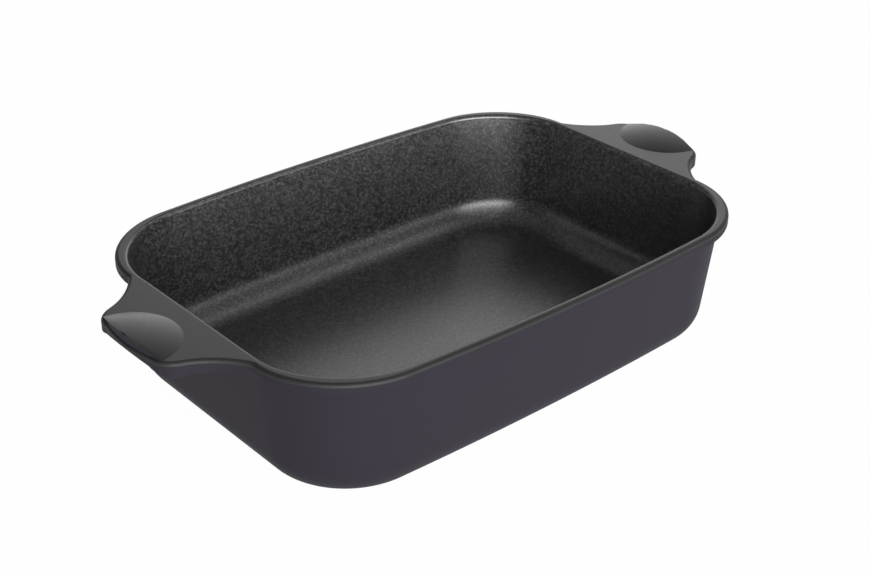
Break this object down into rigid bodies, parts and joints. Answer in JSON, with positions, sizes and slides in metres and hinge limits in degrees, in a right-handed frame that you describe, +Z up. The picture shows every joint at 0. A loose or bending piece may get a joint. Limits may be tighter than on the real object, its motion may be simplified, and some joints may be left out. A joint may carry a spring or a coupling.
{
  "type": "roasting pan",
  "caption": "Open rectangular roasting pan in cast aluminium, with wing handles that grow out of the rim, a dark nonstick lining and a steel sole plate.",
  "frame": {"origin": "centre of the flat base, where the pan stands", "axes": "+X along the pan through both handles, +Y across it, +Z up through the mouth"},
  "size_m": [0.4132, 0.238, 0.0847],
  "materials": {
    "lacquered_aluminium": "cast aluminium under a satin lacquer, dark grey with a purple tinge",
    "nonstick_coat": "baked nonstick coat, near black and satin, with fine pale flecks in the cooking surface",
    "sole_steel": "bare rolled steel, fine turned grain"
  },
  "bodies": {
    "root": {"pan_casting": "lacquered_aluminium", "nonstick_lining": "nonstick_coat", "sole_plate": "sole_steel"}
  },
  "joints": []
}
